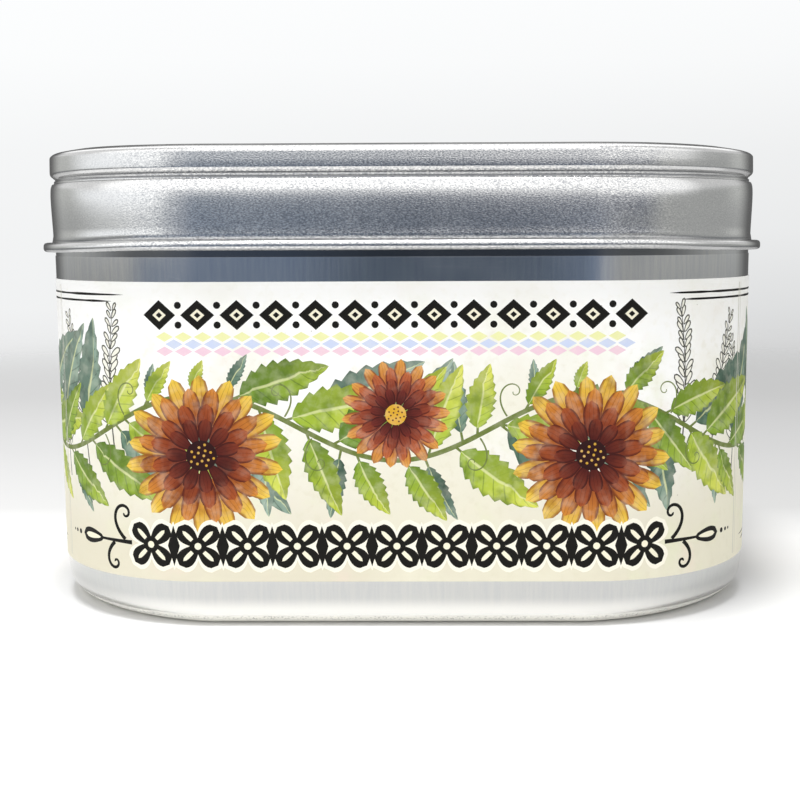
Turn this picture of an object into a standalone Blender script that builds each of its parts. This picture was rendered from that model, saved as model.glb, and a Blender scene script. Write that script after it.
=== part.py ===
"""A seamless drawn tin with rounded corners: an open can, a slip lid and a wrapped paper label.

Metres, +Z up. The origin is at the middle of the underside, the width lies along X and the wide
front faces -Y. The sizes below are in millimetres, and MM turns them into metres.

Every piece is one section carried round the same rounded rectangle. A section is a list of
(out, up) points: out is measured from the can's outer face, and up from the surface that the tin
stands on. The section is turned through a full circle at the corner radius, and the four quarters
are then pulled apart to the corners, which stretches the four faces between them into flats."""

import math

import bmesh
import bpy

MM = 0.001

# The can's outer face, seen from above.
CAN_WIDTH = 150.0
CAN_DEPTH = 110.0
CORNER_RADIUS = 37.5
CORNER_STEPS = 16

# Heights.
TIN_HEIGHT = 95.0
CAN_RIM = 86.6
GROOVE_HEIGHT = 87.8
CURL_HEIGHT = 74.9
LABEL_BOTTOM = 9.0
LABEL_TOP = 68.0

# Tinplate.
SHEET = 0.3
BASE_EDGE_RADIUS = 4.2
BASE_EDGE_STEPS = 6

# The lid: its skirt slips over the can, and its groove sits on the can's rim.
LID_CLEARANCE = 0.3
LID_FACE = LID_CLEARANCE + SHEET
PANEL_EDGE = -11.0
PANEL_DROP = 1.0
CREST_INNER = -8.5
SHOULDER_RUN = 7.1
SHOULDER_DROP = 2.3
SHOULDER_STEPS = 6
GROOVE_DEPTH = 1.25
UPPER_FLANK = 2.0
LOWER_FLANK = 1.9
FLANK_STEPS = 4
FLANK_END = 75.0
CURL_RADIUS = 1.1
CURL_STEPS = 12

# The label: a paper sleeve that stands just clear of the can.
LABEL_GAP = 0.1
LABEL_THICKNESS = 0.2

TINPLATE_COLOUR = (0.61, 0.62, 0.64, 1.0)
PAPER_COLOUR = (0.93, 0.90, 0.80, 1.0)


def clear_scene():
    for old in list(bpy.data.objects):
        bpy.data.objects.remove(old, do_unlink=True)


def new_collection(name):
    collection = bpy.data.collections.new(name)
    bpy.context.scene.collection.children.link(collection)
    return collection


def principled(name, colour, roughness, metallic):
    material = bpy.data.materials.new(name)
    material.use_nodes = True
    shader = material.node_tree.nodes["Principled BSDF"]
    shader.inputs["Base Color"].default_value = colour
    shader.inputs["Roughness"].default_value = roughness
    shader.inputs["Metallic"].default_value = metallic
    return material


def arc(centre, radii, start, end, steps):
    """Points on an ellipse's arc, from one angle to another, in degrees from straight outward."""
    points = []
    for i in range(steps + 1):
        angle = math.radians(start + (end - start) * i / steps)
        points.append((centre[0] + radii[0] * math.cos(angle), centre[1] + radii[1] * math.sin(angle)))
    return points


def inner_skin(points, thickness):
    """The parallel line on the inner side of an outer skin that runs from its top to its bottom."""
    skin = []
    for i, (out, up) in enumerate(points):
        before = points[max(i - 1, 0)]
        after = points[min(i + 1, len(points) - 1)]
        normals = []
        for a, b in ((before, (out, up)), ((out, up), after)):
            run, rise = b[0] - a[0], b[1] - a[1]
            length = math.hypot(run, rise)
            if length > 0.0:
                normals.append((rise / length, -run / length))
        mean = (sum(n[0] for n in normals) / len(normals), sum(n[1] for n in normals) / len(normals))
        stretch = thickness / (mean[0] ** 2 + mean[1] ** 2)
        skin.append((out + mean[0] * stretch, up + mean[1] * stretch))
    return skin


def profile_object(name, section, closed):
    """The section as a line of edges, half a corner step round from the X axis."""
    half_step = math.radians(90.0 / CORNER_STEPS) / 2.0
    points = []
    for out, up in section:
        radius = (CORNER_RADIUS + out) / math.cos(half_step) * MM
        points.append((radius * math.cos(half_step), radius * math.sin(half_step), up * MM))
    edges = [(i, i + 1) for i in range(len(points) - 1)]
    if closed:
        edges.append((len(points) - 1, 0))
    mesh = bpy.data.meshes.new(name)
    mesh.from_pydata(points, edges, [])
    return bpy.data.objects.new(name, mesh)


def turned(profile):
    """The profile turned through a full circle about Z, as a mesh."""
    screw = profile.modifiers.new("Turn", "SCREW")
    screw.axis = "Z"
    screw.angle = math.radians(360.0)
    screw.steps = 4 * CORNER_STEPS
    screw.render_steps = 4 * CORNER_STEPS
    screw.use_merge_vertices = True
    screw.merge_threshold = 0.00001
    bpy.context.scene.collection.objects.link(profile)
    graph = bpy.context.evaluated_depsgraph_get()
    mesh = bpy.data.meshes.new_from_object(profile.evaluated_get(graph))
    bpy.data.objects.remove(profile, do_unlink=True)
    return mesh


def pull_to_corners(mesh):
    """Moves each quarter of a turned shape out to its corner of the rounded rectangle."""
    along_x = (CAN_WIDTH / 2.0 - CORNER_RADIUS) * MM
    along_y = (CAN_DEPTH / 2.0 - CORNER_RADIUS) * MM
    for vertex in mesh.vertices:
        vertex.co.x += math.copysign(along_x, vertex.co.x)
        vertex.co.y += math.copysign(along_y, vertex.co.y)


def close_holes(mesh):
    """Fills the flat panels in the middle, and turns every face outwards."""
    shape = bmesh.new()
    shape.from_mesh(mesh)
    rims = [edge for edge in shape.edges if edge.is_boundary]
    if rims:
        bmesh.ops.holes_fill(shape, edges=rims, sides=0)
    bmesh.ops.recalc_face_normals(shape, faces=shape.faces)
    shape.to_mesh(mesh)
    shape.free()


def rounded_piece(name, section, material, collection, closed=False):
    mesh = turned(profile_object(name, section, closed))
    pull_to_corners(mesh)
    close_holes(mesh)
    mesh.name = name
    mesh.materials.clear()
    mesh.materials.append(material)
    mesh.shade_smooth()
    mesh.set_sharp_from_angle(angle=math.radians(40.0))
    piece = bpy.data.objects.new(name, mesh)
    collection.objects.link(piece)
    return piece


def can_section():
    """Inner floor, inner wall, rim, outer wall and underside of the open can."""
    inner_radius = BASE_EDGE_RADIUS - SHEET
    edge_centre = (-BASE_EDGE_RADIUS, BASE_EDGE_RADIUS)
    inner_edge = arc(edge_centre, (inner_radius, inner_radius), -90.0, 0.0, BASE_EDGE_STEPS)
    outer_edge = arc(edge_centre, (BASE_EDGE_RADIUS, BASE_EDGE_RADIUS), 0.0, -90.0, BASE_EDGE_STEPS)
    return inner_edge + [(-SHEET, CAN_RIM), (0.0, CAN_RIM)] + outer_edge


def lid_outer_skin():
    """The lid's outside from the recessed panel to the foot of the groove."""
    shoulder = arc(
        (LID_FACE - SHOULDER_RUN, TIN_HEIGHT - SHOULDER_DROP),
        (SHOULDER_RUN, SHOULDER_DROP), 90.0, 0.0, SHOULDER_STEPS)
    flank_out = GROOVE_DEPTH / (1.0 - math.cos(math.radians(FLANK_END)))
    upper_rise = UPPER_FLANK / math.sin(math.radians(FLANK_END))
    lower_rise = LOWER_FLANK / math.sin(math.radians(FLANK_END))
    upper = arc(
        (LID_FACE - flank_out, GROOVE_HEIGHT + UPPER_FLANK),
        (flank_out, upper_rise), 0.0, -FLANK_END, FLANK_STEPS)
    lower = arc(
        (LID_FACE - flank_out, GROOVE_HEIGHT - LOWER_FLANK),
        (flank_out, lower_rise), FLANK_END, 0.0, FLANK_STEPS)
    panel = [(PANEL_EDGE, TIN_HEIGHT - PANEL_DROP), (CREST_INNER, TIN_HEIGHT)]
    return panel + shoulder + upper + lower[1:]


def lid_section():
    """The lid's outside, the rolled curl at its lower edge, and its inside."""
    outside = lid_outer_skin()
    curl_centre = (LID_CLEARANCE + CURL_RADIUS, CURL_HEIGHT)
    curl_start = math.degrees(math.acos((LID_FACE - curl_centre[0]) / CURL_RADIUS))
    curl = arc(curl_centre, (CURL_RADIUS, CURL_RADIUS), curl_start, -180.0, CURL_STEPS)
    inside = inner_skin(outside, SHEET)
    return outside + curl + inside[::-1]


def label_section():
    """A flat strip of paper, seen from its end."""
    near = LABEL_GAP
    far = LABEL_GAP + LABEL_THICKNESS
    return [(near, LABEL_TOP), (far, LABEL_TOP), (far, LABEL_BOTTOM), (near, LABEL_BOTTOM)]


def main():
    clear_scene()
    tin = new_collection("slip_lid_tin")
    tinplate = principled("tinplate", TINPLATE_COLOUR, roughness=0.3, metallic=1.0)
    paper = principled("label_paper", PAPER_COLOUR, roughness=0.6, metallic=0.0)
    rounded_piece("can", can_section(), tinplate, tin)
    rounded_piece("lid", lid_section(), tinplate, tin)
    rounded_piece("label", label_section(), paper, tin, closed=True)


main()
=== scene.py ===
# %% [markdown]
# # A slip-lid tin with a paper label
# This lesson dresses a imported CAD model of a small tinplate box: a can with rounded corners, a lid that
# slips over it, and a paper label wrapped round the can. The CAD gives the true size and the place of
# each piece. Here each piece is made again with finer forms and a real finish, in the same place.

import math
import random

import bmesh
import bpy
import numpy as np
from mathutils import Matrix, Vector
from mathutils.geometry import delaunay_2d_cdt


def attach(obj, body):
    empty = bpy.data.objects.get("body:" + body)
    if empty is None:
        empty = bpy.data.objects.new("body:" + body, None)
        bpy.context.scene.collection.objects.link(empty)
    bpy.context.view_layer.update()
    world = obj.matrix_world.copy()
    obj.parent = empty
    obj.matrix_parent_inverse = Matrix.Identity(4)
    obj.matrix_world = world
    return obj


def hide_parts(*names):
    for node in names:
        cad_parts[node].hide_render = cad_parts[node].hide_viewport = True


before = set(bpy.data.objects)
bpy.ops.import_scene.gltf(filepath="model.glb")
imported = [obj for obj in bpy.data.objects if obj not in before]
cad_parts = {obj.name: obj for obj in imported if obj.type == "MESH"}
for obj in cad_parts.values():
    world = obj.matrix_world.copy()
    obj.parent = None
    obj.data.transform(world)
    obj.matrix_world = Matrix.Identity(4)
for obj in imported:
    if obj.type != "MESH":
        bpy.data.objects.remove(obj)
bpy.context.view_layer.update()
MM = 0.001
print("CAD nodes:", sorted(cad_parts))

# %% [markdown]
# ## The camera
# The photograph was taken close by, a little above the middle of the tin and slightly right of it, so
# the far ends of the tin are clearly smaller than its middle. A camera could be set by eye, but these
# numbers come from fitting a pinhole camera to the tin's outline. The lens is given for a 36 mm wide
# sensor, and the small shift stands for a photograph that was cropped a little off its middle.

# %% Camera
PHOTO_PIXELS = 800
SENSOR = 36.0
FOCAL_PIXELS = 1262.35
CENTRE_PIXEL = 445.84
CAMERA_PLACE = (0.01264, -0.2972, 0.07725)
CAMERA_HEADING = 0.012
CAMERA_ROLL = -0.0042
DEGREES_DOWN = 7.506

camera_data = bpy.data.cameras.new("photo_camera")
camera_data.sensor_width = SENSOR
camera_data.lens = FOCAL_PIXELS * SENSOR / PHOTO_PIXELS
camera_data.shift_x = -(CENTRE_PIXEL - PHOTO_PIXELS / 2) / PHOTO_PIXELS
camera_data.clip_start = 0.01
camera = bpy.data.objects.new("photo_camera", camera_data)
bpy.context.scene.collection.objects.link(camera)
camera.matrix_world = (
    Matrix.Translation(CAMERA_PLACE)
    @ Matrix.Rotation(CAMERA_HEADING, 4, "Z")
    @ Matrix.Rotation(math.radians(90.0 - DEGREES_DOWN), 4, "X")
    @ Matrix.Rotation(CAMERA_ROLL, 4, "Z")
)
bpy.context.scene.camera = camera
print("lens", round(camera_data.lens, 2), "mm, shift", round(camera_data.shift_x, 4))

# %% [markdown]
# ## Colours
# Colours are written as they look on a screen, in sRGB hex. A shader works in linear light, where
# half as much light is half the number, so one function turns every hex colour into linear numbers.


# %% From hex to linear
def linear(code):
    """The linear RGBA of an sRGB hex colour such as "#b5c84a"."""
    channels = []
    for i in (1, 3, 5):
        c = int(code[i:i + 2], 16) / 255.0
        channels.append(c / 12.92 if c <= 0.04045 else ((c + 0.055) / 1.055) ** 2.4)
    return (*channels, 1.0)


print("a middle grey in linear light:", round(linear("#808080")[0], 3))

# %% [markdown]
# ## One way to add a node
# Geometry, metal, paper and sky are all node trees here. One function adds any node: it gives the
# node's settings, then fills each input with a number, a colour, or a link. A link may name an output,
# or just the node, and then its first output in use is taken. So a tree reads from its start to its
# end, and each line names what it is fed with.


# %% The node helper
def add(tree, kind, inputs=None, **settings):
    """Adds a node. Inputs are given by name or number, and settings are the node's properties."""
    node = tree.nodes.new(kind)
    for name, value in settings.items():
        setattr(node, name, value)
    for key, value in (inputs or {}).items():
        if isinstance(value, bpy.types.Node):
            value = next(socket for socket in value.outputs if socket.enabled)
        if isinstance(value, bpy.types.NodeSocket):
            tree.links.new(value, node.inputs[key])
        else:
            node.inputs[key].default_value = value
    return node


# %% [markdown]
# ## The path that every piece follows
# Seen from above the tin is a rounded rectangle, and can, lid and label all run round it. A section,
# drawn as (out, up) points, is carried round that path: out is measured from the can's outer face and
# up from the table, both in millimetres. A box with bevelled edges would do for a rough tin, but a
# carried section gives every bead and curl its true profile at once.

# %% Sizes of the path
CAN_WIDTH = 150.0
CAN_DEPTH = 110.0
CORNER_RADIUS = 37.5
CORNER_POINTS = 48
POINTS_ROUND = 560
FRONT_HALF = CAN_WIDTH / 2 - CORNER_RADIUS
SIDE = CAN_DEPTH - 2 * CORNER_RADIUS
CORNER_LENGTH = math.pi / 2 * CORNER_RADIUS
HALF_ROUND = FRONT_HALF * 2 + CORNER_LENGTH * 2 + SIDE
print("the path is", round(2 * HALF_ROUND, 1), "mm long")

# %% [markdown]
# ## The tree that carries a section round the path
# A Geometry Nodes tree makes the rounded rectangle, turns the section's line of edges into a profile
# and sweeps it along. Sheet metal is never quite true, so the tree also pushes the surface in a few
# hundredths of a millimetre, by a noise that changes slowly. That is too little to see on an outline,
# but it bends every reflection a little, as the eye expects of thin sheet.


# %% Carry a section round
def carry_round_tree():
    tree = bpy.data.node_groups.new("carry_section_round", "GeometryNodeTree")
    face = tree.interface
    face.new_socket("Section", in_out="INPUT", socket_type="NodeSocketGeometry")
    for name in ("Width", "Depth", "Corner Radius", "Wobble", "Wobble Length"):
        face.new_socket(name, in_out="INPUT", socket_type="NodeSocketFloat")
    for name in ("Corner Points", "Points Round", "Seed"):
        face.new_socket(name, in_out="INPUT", socket_type="NodeSocketInt")
    face.new_socket("Material", in_out="INPUT", socket_type="NodeSocketMaterial")
    face.new_socket("Geometry", in_out="OUTPUT", socket_type="NodeSocketGeometry")
    given = add(tree, "NodeGroupInput").outputs

    box = add(tree, "GeometryNodeCurvePrimitiveQuadrilateral",
              {"Width": given["Width"], "Height": given["Depth"]})
    fillet = add(tree, "GeometryNodeFilletCurve", mode="POLY",
                 inputs={"Curve": box, "Radius": given["Corner Radius"], "Count": given["Corner Points"]})
    path = add(tree, "GeometryNodeResampleCurve", mode="COUNT",
               inputs={"Curve": fillet, "Count": given["Points Round"]})
    profile = add(tree, "GeometryNodeMeshToCurve", {"Mesh": given["Section"]})
    swept = add(tree, "GeometryNodeCurveToMesh", {"Curve": path, "Profile Curve": profile})

    scale = add(tree, "ShaderNodeMath", {0: 1.0, 1: given["Wobble Length"]}, operation="DIVIDE")
    noise = add(tree, "ShaderNodeTexNoise", noise_dimensions="4D",
                inputs={"W": given["Seed"], "Scale": scale, "Detail": 2.0, "Roughness": 0.4})
    inward = add(tree, "ShaderNodeMath", {0: noise, 1: 1.0}, operation="SUBTRACT")
    amount = add(tree, "ShaderNodeMath", {0: inward, 1: given["Wobble"]}, operation="MULTIPLY")
    normal = add(tree, "GeometryNodeInputNormal")
    offset = add(tree, "ShaderNodeVectorMath", {0: normal, "Scale": amount}, operation="SCALE")
    moved = add(tree, "GeometryNodeSetPosition", {"Geometry": swept, "Offset": offset})
    smooth = add(tree, "GeometryNodeSetShadeSmooth", {"Geometry": moved})
    real = add(tree, "GeometryNodeRealizeInstances", {0: smooth})
    painted = add(tree, "GeometryNodeSetMaterial", {"Geometry": real, "Material": given["Material"]})
    add(tree, "NodeGroupOutput", {"Geometry": painted})
    return tree


round_tree = carry_round_tree()
print("tree:", round_tree.name, "with", len(round_tree.nodes), "nodes")

# %% [markdown]
# ## From a section to a closed piece
# The modifier's inputs are set by their sockets' identifiers, because two sockets may share a name. The
# result is copied to a plain mesh and the modifier goes. What is left open is the middle of the top or
# the bottom, a small ring of points, and one flat cap closes it. Edges that turn sharply are marked, so
# that they stay crisp under smooth shading.


# %% Make one closed piece
def set_inputs(modifier, values):
    """Sets a modifier's inputs by the identifiers of the sockets that have these names."""
    for item in modifier.node_group.interface.items_tree:
        if item.item_type == "SOCKET" and item.in_out == "INPUT" and item.name in values:
            modifier[item.identifier] = values[item.name]


def close_middle(mesh):
    """Caps the open rings and turns every face outward."""
    shape = bmesh.new()
    shape.from_mesh(mesh)
    bmesh.ops.remove_doubles(shape, verts=shape.verts, dist=1e-7)
    rims = [edge for edge in shape.edges if edge.is_boundary]
    caps = bmesh.ops.holes_fill(shape, edges=rims, sides=0)["faces"]
    for cap in caps:
        cap.smooth = True
    bmesh.ops.triangulate(shape, faces=caps)
    bmesh.ops.recalc_face_normals(shape, faces=shape.faces)
    shape.to_mesh(mesh)
    shape.free()


SHARP_ANGLE = 35.0


def rounded_piece(name, section, material, wobble, wobble_length, seed):
    """Carries a section round the path and returns the piece as a plain, closed mesh object."""
    mesh = bpy.data.meshes.new(name)
    edges = [(i, i + 1) for i in range(len(section) - 1)]
    mesh.from_pydata([(out * MM, -up * MM, 0.0) for out, up in section], edges, [])
    piece = bpy.data.objects.new(name, mesh)
    bpy.context.scene.collection.objects.link(piece)
    modifier = piece.modifiers.new("carry", "NODES")
    modifier.node_group = round_tree
    set_inputs(modifier, {
        "Width": CAN_WIDTH * MM, "Depth": CAN_DEPTH * MM, "Corner Radius": CORNER_RADIUS * MM,
        "Corner Points": CORNER_POINTS, "Points Round": POINTS_ROUND, "Wobble": wobble * MM,
        "Wobble Length": wobble_length * MM, "Seed": seed, "Material": material})
    graph = bpy.context.evaluated_depsgraph_get()
    finished = bpy.data.meshes.new_from_object(piece.evaluated_get(graph))
    piece.modifiers.clear()
    piece.data = finished
    close_middle(finished)
    finished.name = name
    finished.set_sharp_from_angle(angle=math.radians(SHARP_ANGLE))
    finished.calc_loop_triangles()
    print(name, "section points:", len(section), "triangles:", len(finished.loop_triangles))
    return piece


# %% [markdown]
# ## Drawing a section
# Two small helpers draw sections: one gives points on an arc, the other evenly spaced points on a
# straight line. Long straight runs are cut up too, so that the slow wobble has points to move.


# %% Section helpers
def arc(centre, radii, start, end, steps):
    """Points on an ellipse's arc, with the angles in degrees from straight outward."""
    angles = [math.radians(start + (end - start) * i / steps) for i in range(steps + 1)]
    return [(centre[0] + radii[0] * math.cos(a), centre[1] + radii[1] * math.sin(a)) for a in angles]


def straight(start, end, steps):
    """Evenly spaced points after start, up to and with end."""
    shares = [i / steps for i in range(1, steps + 1)]
    return [(start[0] + (end[0] - start[0]) * t, start[1] + (end[1] - start[1]) * t) for t in shares]


# %% [markdown]
# ## The finish of the tinplate
# Tinplate is thin steel with a bright skin of tin, cold rolled and then pressed to shape. It is a metal
# with a neutral, very slightly warm grey, and what it shows is the room, blurred. An even roughness would
# look like plastic foil, so all of its marks are bump, roughness and tone, read from the place on the
# piece. Rolling and the crystals of the tin break the room's picture up into flecks about a tenth of a
# millimetre across. They are drawn here as two to four tenths, wider than tall, because finer ones would
# vanish in the render. Where the wall was drawn through a die it has faint upright streaks instead.


# %% Grain from rolling and drawing
def sheet_grain(tree, place, fleck):
    """Flecks of a width and height in mm, upright streaks, and patches of more or less wear."""
    size = (1.0 / (fleck[0] * MM), 1.0 / (fleck[0] * MM), 1.0 / (fleck[1] * MM))
    fleck_place = add(tree, "ShaderNodeMapping", {"Vector": place, "Scale": size})
    flecks = add(tree, "ShaderNodeTexNoise",
                 {"Vector": fleck_place, "Scale": 1.0, "Detail": 2.0, "Roughness": 0.7})
    # Streaks 0.6 mm wide and some 9 mm long, from the die.
    streak_place = add(tree, "ShaderNodeMapping",
                       {"Vector": place, "Scale": (1.0 / (0.6 * MM), 1.0 / (0.6 * MM), 1.0 / (9.0 * MM))})
    streaks = add(tree, "ShaderNodeTexNoise",
                  {"Vector": streak_place, "Scale": 1.0, "Detail": 3.0, "Roughness": 0.6})
    # Patches about 12 mm across.
    patches = add(tree, "ShaderNodeTexNoise", {"Vector": place, "Scale": 1.0 / (12.0 * MM), "Detail": 4.0})
    return flecks, streaks, patches


# %% [markdown]
# Handling adds hairline scratches and specks of dust. A scratch is drawn where a long, flat noise crosses
# its own middle value, so it is as thin as a hair and never quite straight. Dust lies in some of the
# cells of a coarse pattern, one speck a quarter of a millimetre across in each.


# %% Scratches and dust
def scratches_and_dust(tree, place, patches, dusty):
    """Hairlines in the more worn patches, and specks in a share of the cells."""
    hair_place = add(tree, "ShaderNodeMapping",
                     {"Vector": place, "Scale": (1.0 / (34.0 * MM), 1.0 / (34.0 * MM), 1.0 / (3.0 * MM))})
    hair = add(tree, "ShaderNodeTexNoise", {"Vector": hair_place, "Scale": 1.0, "Detail": 1.0})
    off_middle = add(tree, "ShaderNodeMath", {0: hair, 1: 0.5}, operation="SUBTRACT")
    off_middle = add(tree, "ShaderNodeMath", {0: off_middle}, operation="ABSOLUTE")
    line = add(tree, "ShaderNodeMapRange", interpolation_type="SMOOTHSTEP",
               inputs={"Value": off_middle, "From Min": 0.006, "From Max": 0.0})
    breaks = add(tree, "ShaderNodeMapRange", interpolation_type="SMOOTHSTEP",
                 inputs={"Value": patches, "From Min": 0.56, "From Max": 0.64})
    scratches = add(tree, "ShaderNodeMath", {0: line, 1: breaks}, operation="MULTIPLY")

    cells = add(tree, "ShaderNodeTexVoronoi", {"Vector": place, "Scale": 1.0 / (8.0 * MM)})
    speck = add(tree, "ShaderNodeMapRange", interpolation_type="SMOOTHSTEP",
                inputs={"Value": cells.outputs["Distance"], "From Min": 0.032, "From Max": 0.016})
    draw = add(tree, "ShaderNodeSeparateColor", {0: cells.outputs["Color"]})
    chosen = add(tree, "ShaderNodeMath", {0: draw, 1: dusty}, operation="LESS_THAN")
    specks = add(tree, "ShaderNodeMath", {0: speck, 1: chosen}, operation="MULTIPLY")
    return scratches, specks


# %% [markdown]
# Other wear, and some painted light and shade, depend on the height above the table and on how far to the
# left or right a point lies. In creases, on the neck under the curl and over the curl the tone is painted
# darker, a painted shade where the curl and the creases keep light out, and it fades towards the corners. The
# base edge is rubbed bright, less so at the corners, and the foot that stands on shelves is scuffed dull,
# with a near white tone painted on it as painted light where it faces the shaded table.


# %% Wear by place
def crease_shade(tree, height, from_middle, creases, shade_at_corners):
    """A crease is two heights in mm and the share of painted shade between them."""
    corner_fade = add(tree, "ShaderNodeMapRange", interpolation_type="SMOOTHSTEP",
                inputs={"Value": from_middle, "From Min": 50.0 * MM, "From Max": 66.0 * MM,
                        "To Min": 1.0, "To Max": shade_at_corners})
    # Painted shade: a darker tone in each crease, with less of it near the corners.
    painted_shade = 0.0
    for crease_foot, crease_top, share in creases:
        from_centre = add(tree, "ShaderNodeMath", operation="SUBTRACT",
                          inputs={0: height, 1: (crease_foot + crease_top) / 2 * MM})
        from_centre = add(tree, "ShaderNodeMath", {0: from_centre}, operation="ABSOLUTE")
        within = add(tree, "ShaderNodeMath", operation="LESS_THAN",
                     inputs={0: from_centre, 1: (crease_top - crease_foot) / 2 * MM})
        painted_shade = add(tree, "ShaderNodeMath", {0: within, 1: share, 2: painted_shade}, operation="MULTIPLY_ADD")
    return add(tree, "ShaderNodeMath", {0: painted_shade, 1: corner_fade}, operation="MULTIPLY")


def foot_wear_and_light(tree, place, height, from_middle, patches):
    """Shares of five kinds of wear and painted light: dull wall, rubbed edge, worn corners, scuffed foot with
    painted light, dark marks.
    """
    rubbed = add(tree, "ShaderNodeMapRange", interpolation_type="SMOOTHSTEP",
                 inputs={"Value": height, "From Min": 6.2 * MM, "From Max": 3.0 * MM})
    # Painted light: the foot's near white tone, set in the tinplate, keeps it light where it faces the shaded
    # table; its roughness is real scuffing.
    foot = add(tree, "ShaderNodeMapRange", interpolation_type="SMOOTHSTEP",
               inputs={"Value": height, "From Min": 2.6 * MM, "From Max": 1.9 * MM})
    # Under the label the wall is a little dull, and worn darker still towards the corners.
    low_wall = add(tree, "ShaderNodeMath", {0: height, 1: 12.0 * MM}, operation="LESS_THAN")
    dull = add(tree, "ShaderNodeMath", {0: low_wall, 1: 0.45}, operation="MULTIPLY")
    worn = add(tree, "ShaderNodeMapRange", interpolation_type="SMOOTHSTEP",
               inputs={"Value": from_middle, "From Min": 45.0 * MM, "From Max": 70.0 * MM, "To Max": 0.4})
    worn = add(tree, "ShaderNodeMath", {0: worn, 1: low_wall}, operation="MULTIPLY")
    # Small dark marks, some 0.5 mm long, in a line 1 to 2 mm up, where the foot meets a shelf's edge.
    marks = add(tree, "ShaderNodeTexNoise", {"Vector": place, "Scale": 1.0 / (0.5 * MM), "Detail": 4.0})
    marks = add(tree, "ShaderNodeMapRange",
                {"Value": marks, "From Min": 0.50, "From Max": 0.70, "To Max": 0.8})
    below = add(tree, "ShaderNodeMapRange", interpolation_type="SMOOTHSTEP",
                inputs={"Value": height, "From Min": 2.2 * MM, "From Max": 1.7 * MM})
    above = add(tree, "ShaderNodeMath", {0: height, 1: 1.0 * MM}, operation="GREATER_THAN")
    for share in (below, above, patches):
        marks = add(tree, "ShaderNodeMath", {0: marks, 1: share}, operation="MULTIPLY")
    return dull, rubbed, worn, foot, marks


# %% [markdown]
# The metal itself puts these together. Round the corners, where the sheet was drawn hardest, the flecks are
# ironed almost flat. What faces straight up gets a darker tone: painted shade that dims the flat top's
# reflection of the bright ceiling.


# %% Tinplate
def tinplate(name, fleck, fleck_depth, streak_depth, roughness, streaky, tones, dusty, creases, shade_at_corners):
    """Sizes and depths are in mm, and streaky is 1 for a wall with streaks instead of flecks."""
    material = bpy.data.materials.new(name)
    material.use_nodes = True
    tree = material.node_tree
    place = add(tree, "ShaderNodeTexCoord").outputs["Object"]
    across, _, height = add(tree, "ShaderNodeSeparateXYZ", {0: place}).outputs
    from_middle = add(tree, "ShaderNodeMath", {0: across}, operation="ABSOLUTE")
    flecks, streaks, patches = sheet_grain(tree, place, fleck)
    scratches, specks = scratches_and_dust(tree, place, patches, dusty)
    painted_shade = crease_shade(tree, height, from_middle, creases, shade_at_corners)
    dull, rubbed, worn, foot, marks = foot_wear_and_light(tree, place, height, from_middle, patches)

    ironed = add(tree, "ShaderNodeMapRange", interpolation_type="SMOOTHSTEP",
                 inputs={"Value": from_middle, "From Min": 42.0 * MM, "From Max": 58.0 * MM, "To Max": 0.8})
    flecks = add(tree, "ShaderNodeMix", {0: ironed, 2: flecks, 3: 0.5}, data_type="FLOAT")
    facing = add(tree, "ShaderNodeNewGeometry").outputs["Normal"]
    facing = add(tree, "ShaderNodeSeparateXYZ", {0: facing}).outputs["Z"]
    # Painted shade: the tone darkens where the surface faces straight up.
    top_shade = add(tree, "ShaderNodeMapRange", interpolation_type="SMOOTHSTEP",
                   inputs={"Value": facing, "From Min": 0.990, "From Max": 0.998, "To Max": 0.55})

    # Tone: dark and light flecks or streaks, near white dust and dark marks, with painted shade on the flat
    # top and in the creases and painted light on the foot.
    grain = add(tree, "ShaderNodeMix", {0: streaky, 2: flecks, 3: streaks}, data_type="FLOAT")
    contrast = add(tree, "ShaderNodeMapRange", {"Value": grain, "From Min": 0.34, "From Max": 0.66})
    tone = add(tree, "ShaderNodeMix", data_type="RGBA",
               inputs={0: contrast, 6: linear(tones[0]), 7: linear(tones[1])})
    for share, colour in ((top_shade, "#6d6f72"), (dull, "#a9aaa8"), (rubbed, "#e4e3df"), (worn, "#a9aaa8"),
                          (foot, "#f2f1ec"), (marks, "#6f6f6c"), (specks, "#f6f5f2"), (painted_shade, "#5f6164")):
        tone = add(tree, "ShaderNodeMix", {0: share, 6: tone, 7: linear(colour)}, data_type="RGBA")

    # Roughness: patches of wear, with a duller foot and dull dust.
    rough = add(tree, "ShaderNodeMapRange",
                {"Value": patches, "From Min": 0.3, "From Max": 0.7,
                 "To Min": roughness - 0.03, "To Max": roughness + 0.03})
    for share, dullness in ((specks, 0.9), (foot, 0.8)):
        rough = add(tree, "ShaderNodeMix", {0: share, 2: rough, 3: dullness}, data_type="FLOAT")

    # Bump: the same marks as heights.
    bump = add(tree, "ShaderNodeBump", {"Height": streaks, "Distance": streak_depth * MM})
    bump = add(tree, "ShaderNodeBump",
               {"Height": flecks, "Distance": fleck_depth * MM, "Normal": bump})
    bump = add(tree, "ShaderNodeBump",
               {"Height": scratches, "Distance": 0.001 * MM, "Normal": bump}, invert=True)

    shader = tree.nodes["Principled BSDF"]
    shader.inputs["Metallic"].default_value = 1.0
    tree.links.new(tone.outputs[2], shader.inputs["Base Color"])
    tree.links.new(rough.outputs[0], shader.inputs["Roughness"])
    tree.links.new(bump.outputs["Normal"], shader.inputs["Normal"])
    return material


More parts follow.
